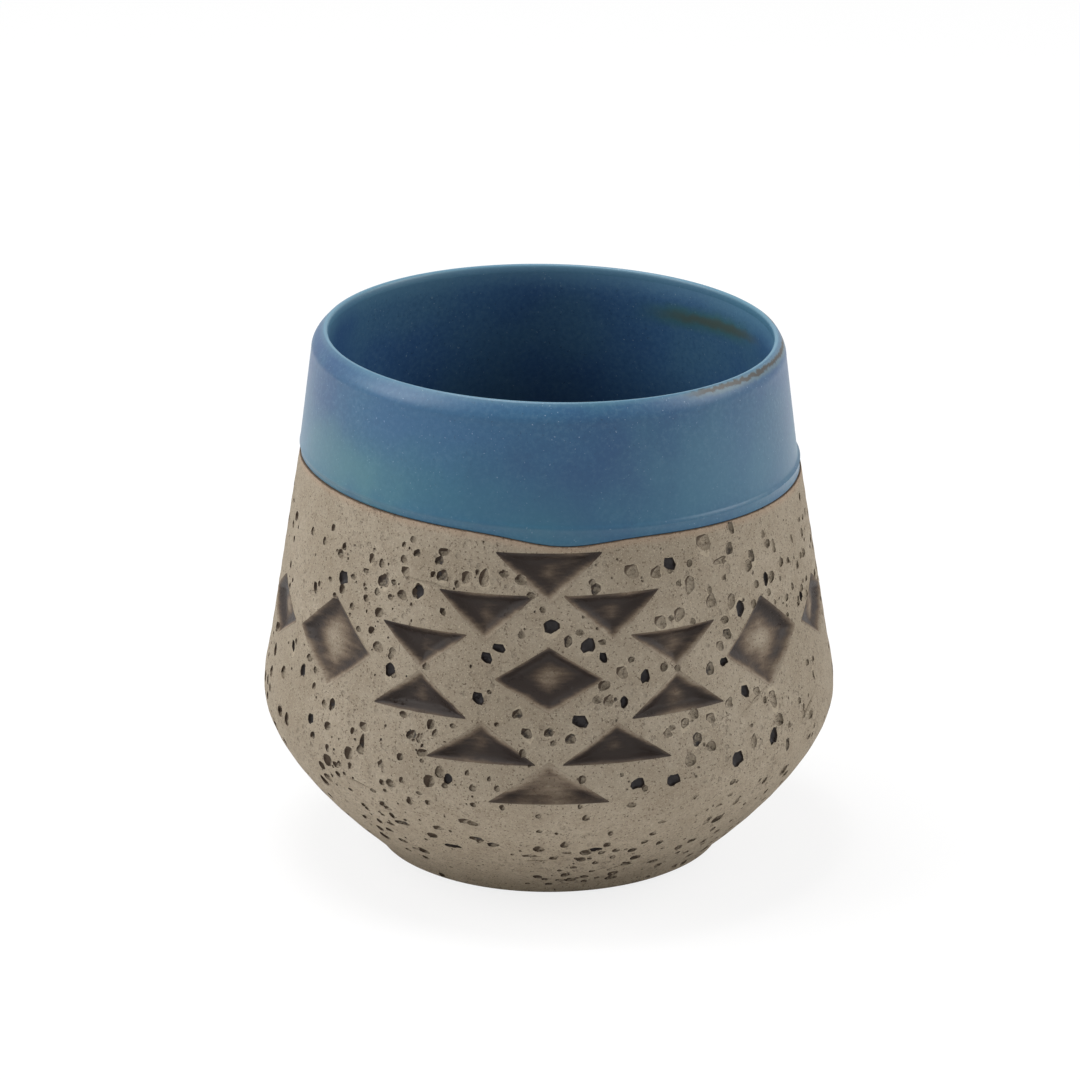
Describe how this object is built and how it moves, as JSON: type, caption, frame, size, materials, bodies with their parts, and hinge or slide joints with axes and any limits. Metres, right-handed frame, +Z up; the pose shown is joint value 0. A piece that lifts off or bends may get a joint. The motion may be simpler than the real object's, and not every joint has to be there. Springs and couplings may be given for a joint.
{
  "type": "ceramic coffee cup",
  "caption": "Handleless stoneware coffee cup with a wide low belly, a blue glazed band and liner, and a stamped geometric pattern in pitted bare clay.",
  "frame": {"origin": "middle of the foot, on the surface the cup stands on", "axes": "+Z up along the cup's turning axis; -Y is the front, where the middle of one stamped medallion faces"},
  "size_m": [0.0862, 0.086, 0.0807],
  "materials": {
    "bare_clay": "matte, sandy, pitted",
    "blue_band": "satin matte glaze",
    "blue_liner": "satin matte glaze",
    "dark_wash": "dry oxide wash"
  },
  "bodies": {
    "root": {"clay_body": "bare_clay", "band_glaze": "blue_band", "liner_glaze": "blue_liner", "stamp_wash": "dark_wash"}
  },
  "joints": []
}
